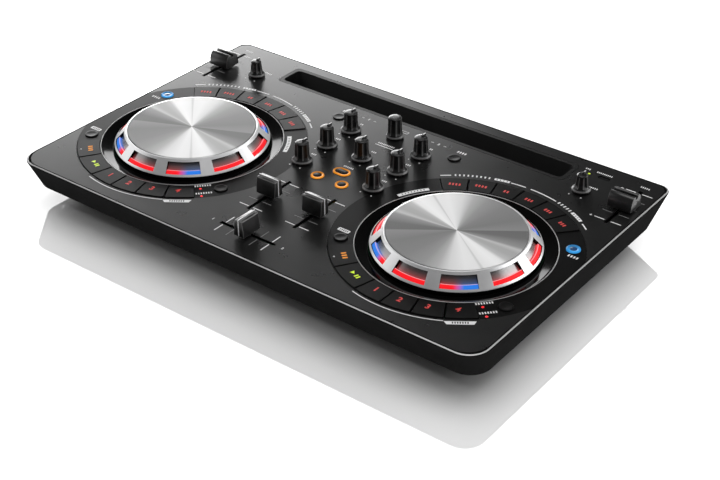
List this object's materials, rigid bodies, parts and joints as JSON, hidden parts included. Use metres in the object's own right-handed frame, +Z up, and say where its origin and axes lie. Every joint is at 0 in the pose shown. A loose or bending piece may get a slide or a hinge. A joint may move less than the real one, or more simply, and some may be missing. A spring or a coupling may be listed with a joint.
{
  "type": "dj controller",
  "caption": "Flat two-deck DJ controller with silver jog wheels ringed by keys, a mixer of knobs and faders between them, and a tablet slot along the back.",
  "frame": {"origin": "on the surface it stands on, under the middle of the case", "axes": "+X to the player's right along the long side, +Y away from the player towards the tablet slot, +Z up"},
  "size_m": [0.403, 0.253, 0.054],
  "materials": {
    "case_plastic": "satin black",
    "panel_satin": "fine satin near-black",
    "tray_plastic": "satin black",
    "deck_gloss": "gloss black dish, satin flat",
    "key_plastic": "satin black",
    "button_gloss": "gloss black",
    "jog_silver": "silver satin",
    "brushed_disc": "spin brushed",
    "knob_gloss": "gloss black",
    "fader_plastic": "satin black",
    "board": "solder mask green",
    "switch_plastic": "matt black",
    "pot_metal": "plain sheet steel",
    "spindle_steel": "turned",
    "socket_metal": "nickel",
    "foot_rubber": "matt",
    "screw_steel": "zinc black",
    "print_white": "screen print",
    "legend_red": "lit legend",
    "lit_orange": "lit ring",
    "lit_blue": "lit ring",
    "lit_green": "lit legend",
    "window_lens": "lit window"
  },
  "bodies": {
    "chassis": {"bottom_case": "case_plastic", "top_case": "case_plastic", "top_panel": "panel_satin", "tablet_tray": "tray_plastic", "circuit_boards": "board", "key_switches": "switch_plastic", "rotary_pots": "pot_metal", "fader_tracks": "pot_metal", "jog_spindles": "spindle_steel", "rear_sockets": "socket_metal", "headphone_jack": "socket_metal", "rubber_feet": "foot_rubber", "case_screws": "screw_steel", "left_deck_ring": "deck_gloss", "right_deck_ring": "deck_gloss"},
    "left_jog": {"left_jog_wheel": "jog_silver", "left_jog_plate": "brushed_disc"},
    "right_jog": {"right_jog_wheel": "jog_silver", "right_jog_plate": "brushed_disc"},
    "left_high_knob": {"left_high_knob": "knob_gloss"},
    "left_mid_knob": {"left_mid_knob": "knob_gloss"},
    "left_low_knob": {"left_low_knob": "knob_gloss"},
    "left_volume_knob": {"left_volume_knob": "knob_gloss"},
    "right_high_knob": {"right_high_knob": "knob_gloss"},
    "right_mid_knob": {"right_mid_knob": "knob_gloss"},
    "right_low_knob": {"right_low_knob": "knob_gloss"},
    "right_volume_knob": {"right_volume_knob": "knob_gloss"},
    "level_knob": {"level_knob": "knob_gloss"},
    "browse_knob": {"browse_knob": "knob_gloss"},
    "left_channel_fader": {"left_channel_fader": "fader_plastic"},
    "left_tempo_fader": {"left_tempo_fader": "fader_plastic"},
    "right_channel_fader": {"right_channel_fader": "fader_plastic"},
    "right_tempo_fader": {"right_tempo_fader": "fader_plastic"},
    "crossfader": {"crossfader": "fader_plastic"},
    "left_cue": {"left_cue": "key_plastic"},
    "left_play": {"left_play": "key_plastic"},
    "left_pad_1": {"left_pad_1": "key_plastic"},
    "left_pad_2": {"left_pad_2": "key_plastic"},
    "left_pad_3": {"left_pad_3": "key_plastic"},
    "left_pad_4": {"left_pad_4": "key_plastic"},
    "left_upper_keys": {"left_upper_keys": "key_plastic"},
    "left_sync_button": {"left_sync_button": "button_gloss"},
    "left_shift_button": {"left_shift_button": "button_gloss"},
    "left_mode_button": {"left_mode_button": "button_gloss"},
    "left_load_button": {"left_load_button": "button_gloss"},
    "left_phones_cue_button": {"left_phones_cue_button": "button_gloss"},
    "right_cue": {"right_cue": "key_plastic"},
    "right_play": {"right_play": "key_plastic"},
    "right_pad_1": {"right_pad_1": "key_plastic"},
    "right_pad_2": {"right_pad_2": "key_plastic"},
    "right_pad_3": {"right_pad_3": "key_plastic"},
    "right_pad_4": {"right_pad_4": "key_plastic"},
    "right_upper_keys": {"right_upper_keys": "key_plastic"},
    "right_sync_button": {"right_sync_button": "button_gloss"},
    "right_shift_button": {"right_shift_button": "button_gloss"},
    "right_mode_button": {"right_mode_button": "button_gloss"},
    "right_load_button": {"right_load_button": "button_gloss"},
    "right_phones_cue_button": {"right_phones_cue_button": "button_gloss"},
    "select_button": {"select_button": "button_gloss"},
    "standby_button": {"standby_button": "button_gloss"}
  },
  "joints": [
    {"name": "left_jog_turn", "type": "hinge", "parent": "chassis", "child": "left_jog", "pos_m": [-0.1195, -0.0263, 0.04], "axis": [0, 0, 1], "continuous": true},
    {"name": "right_jog_turn", "type": "hinge", "parent": "chassis", "child": "right_jog", "pos_m": [0.1195, -0.0263, 0.04], "axis": [0, 0, 1], "continuous": true},
    {"name": "left_high_knob_turn", "type": "hinge", "parent": "chassis", "child": "left_high_knob", "pos_m": [-0.0324, 0.0555, 0.0371], "axis": [0, 0, 1], "range_deg": [-150, 150]},
    {"name": "left_mid_knob_turn", "type": "hinge", "parent": "chassis", "child": "left_mid_knob", "pos_m": [-0.0324, 0.0264, 0.0371], "axis": [0, 0, 1], "range_deg": [-150, 150]},
    {"name": "left_low_knob_turn", "type": "hinge", "parent": "chassis", "child": "left_low_knob", "pos_m": [-0.0324, -0.0028, 0.0371], "axis": [0, 0, 1], "range_deg": [-150, 150]},
    {"name": "left_volume_knob_turn", "type": "hinge", "parent": "chassis", "child": "left_volume_knob", "pos_m": [-0.1511, 0.0838, 0.0371], "axis": [0, 0, 1], "range_deg": [-150, 150]},
    {"name": "right_high_knob_turn", "type": "hinge", "parent": "chassis", "child": "right_high_knob", "pos_m": [0.0324, 0.0555, 0.0371], "axis": [0, 0, 1], "range_deg": [-150, 150]},
    {"name": "right_mid_knob_turn", "type": "hinge", "parent": "chassis", "child": "right_mid_knob", "pos_m": [0.0324, 0.0264, 0.0371], "axis": [0, 0, 1], "range_deg": [-150, 150]},
    {"name": "right_low_knob_turn", "type": "hinge", "parent": "chassis", "child": "right_low_knob", "pos_m": [0.0324, -0.0028, 0.0371], "axis": [0, 0, 1], "range_deg": [-150, 150]},
    {"name": "right_volume_knob_turn", "type": "hinge", "parent": "chassis", "child": "right_volume_knob", "pos_m": [0.1511, 0.0838, 0.0371], "axis": [0, 0, 1], "range_deg": [-150, 150]},
    {"name": "level_knob_turn", "type": "hinge", "parent": "chassis", "child": "level_knob", "pos_m": [0, 0.0264, 0.0371], "axis": [0, 0, 1], "range_deg": [-150, 150]},
    {"name": "browse_knob_turn", "type": "hinge", "parent": "chassis", "child": "browse_knob", "pos_m": [0, 0.0675, 0.0371], "axis": [0, 0, 1], "continuous": true},
    {"name": "left_channel_fader_slide", "type": "slide", "parent": "chassis", "child": "left_channel_fader", "axis": [0, 1, 0], "range_m": [-0.02, 0.02]},
    {"name": "left_tempo_fader_slide", "type": "slide", "parent": "chassis", "child": "left_tempo_fader", "axis": [0, 1, 0], "range_m": [-0.0225, 0.0225]},
    {"name": "right_channel_fader_slide", "type": "slide", "parent": "chassis", "child": "right_channel_fader", "axis": [0, 1, 0], "range_m": [-0.02, 0.02]},
    {"name": "right_tempo_fader_slide", "type": "slide", "parent": "chassis", "child": "right_tempo_fader", "axis": [0, 1, 0], "range_m": [-0.0225, 0.0225]},
    {"name": "crossfader_slide", "type": "slide", "parent": "chassis", "child": "crossfader", "axis": [1, 0, 0], "range_m": [-0.0209, 0.0209]},
    {"name": "left_cue_press", "type": "slide", "parent": "chassis", "child": "left_cue", "axis": [0, 0, -1], "range_m": [0, 0.0005], "stiffness_N_per_m": 500},
    {"name": "left_play_press", "type": "slide", "parent": "chassis", "child": "left_play", "axis": [0, 0, -1], "range_m": [0, 0.0005], "stiffness_N_per_m": 500},
    {"name": "left_pad_1_press", "type": "slide", "parent": "chassis", "child": "left_pad_1", "axis": [0, 0, -1], "range_m": [0, 0.0005], "stiffness_N_per_m": 500},
    {"name": "left_pad_2_press", "type": "slide", "parent": "chassis", "child": "left_pad_2", "axis": [0, 0, -1], "range_m": [0, 0.0005], "stiffness_N_per_m": 500},
    {"name": "left_pad_3_press", "type": "slide", "parent": "chassis", "child": "left_pad_3", "axis": [0, 0, -1], "range_m": [0, 0.0005], "stiffness_N_per_m": 500},
    {"name": "left_pad_4_press", "type": "slide", "parent": "chassis", "child": "left_pad_4", "axis": [0, 0, -1], "range_m": [0, 0.0005], "stiffness_N_per_m": 500},
    {"name": "left_upper_keys_press", "type": "slide", "parent": "chassis", "child": "left_upper_keys", "axis": [0, 0, -1], "range_m": [0, 0.0005], "stiffness_N_per_m": 500},
    {"name": "left_sync_button_press", "type": "slide", "parent": "chassis", "child": "left_sync_button", "axis": [0, 0, -1], "range_m": [0, 0.0005], "stiffness_N_per_m": 500},
    {"name": "left_shift_button_press", "type": "slide", "parent": "chassis", "child": "left_shift_button", "axis": [0, 0, -1], "range_m": [0, 0.0005], "stiffness_N_per_m": 500},
    {"name": "left_mode_button_press", "type": "slide", "parent": "chassis", "child": "left_mode_button", "axis": [0, 0, -1], "range_m": [0, 0.0005], "stiffness_N_per_m": 500},
    {"name": "left_load_button_press", "type": "slide", "parent": "chassis", "child": "left_load_button", "axis": [0, 0, -1], "range_m": [0, 0.0005], "stiffness_N_per_m": 500},
    {"name": "left_phones_cue_button_press", "type": "slide", "parent": "chassis", "child": "left_phones_cue_button", "axis": [0, 0, -1], "range_m": [0, 0.0005], "stiffness_N_per_m": 500},
    {"name": "right_cue_press", "type": "slide", "parent": "chassis", "child": "right_cue", "axis": [0, 0, -1], "range_m": [0, 0.0005], "stiffness_N_per_m": 500},
    {"name": "right_play_press", "type": "slide", "parent": "chassis", "child": "right_play", "axis": [0, 0, -1], "range_m": [0, 0.0005], "stiffness_N_per_m": 500},
    {"name": "right_pad_1_press", "type": "slide", "parent": "chassis", "child": "right_pad_1", "axis": [0, 0, -1], "range_m": [0, 0.0005], "stiffness_N_per_m": 500},
    {"name": "right_pad_2_press", "type": "slide", "parent": "chassis", "child": "right_pad_2", "axis": [0, 0, -1], "range_m": [0, 0.0005], "stiffness_N_per_m": 500},
    {"name": "right_pad_3_press", "type": "slide", "parent": "chassis", "child": "right_pad_3", "axis": [0, 0, -1], "range_m": [0, 0.0005], "stiffness_N_per_m": 500},
    {"name": "right_pad_4_press", "type": "slide", "parent": "chassis", "child": "right_pad_4", "axis": [0, 0, -1], "range_m": [0, 0.0005], "stiffness_N_per_m": 500},
    {"name": "right_upper_keys_press", "type": "slide", "parent": "chassis", "child": "right_upper_keys", "axis": [0, 0, -1], "range_m": [0, 0.0005], "stiffness_N_per_m": 500},
    {"name": "right_sync_button_press", "type": "slide", "parent": "chassis", "child": "right_sync_button", "axis": [0, 0, -1], "range_m": [0, 0.0005], "stiffness_N_per_m": 500},
    {"name": "right_shift_button_press", "type": "slide", "parent": "chassis", "child": "right_shift_button", "axis": [0, 0, -1], "range_m": [0, 0.0005], "stiffness_N_per_m": 500},
    {"name": "right_mode_button_press", "type": "slide", "parent": "chassis", "child": "right_mode_button", "axis": [0, 0, -1], "range_m": [0, 0.0005], "stiffness_N_per_m": 500},
    {"name": "right_load_button_press", "type": "slide", "parent": "chassis", "child": "right_load_button", "axis": [0, 0, -1], "range_m": [0, 0.0005], "stiffness_N_per_m": 500},
    {"name": "right_phones_cue_button_press", "type": "slide", "parent": "chassis", "child": "right_phones_cue_button", "axis": [0, 0, -1], "range_m": [0, 0.0005], "stiffness_N_per_m": 500},
    {"name": "select_button_press", "type": "slide", "parent": "chassis", "child": "select_button", "axis": [0, 0, -1], "range_m": [0, 0.0005], "stiffness_N_per_m": 500},
    {"name": "standby_button_press", "type": "slide", "parent": "chassis", "child": "standby_button", "axis": [0, 0, -1], "range_m": [0, 0.0005], "stiffness_N_per_m": 500}
  ]
}
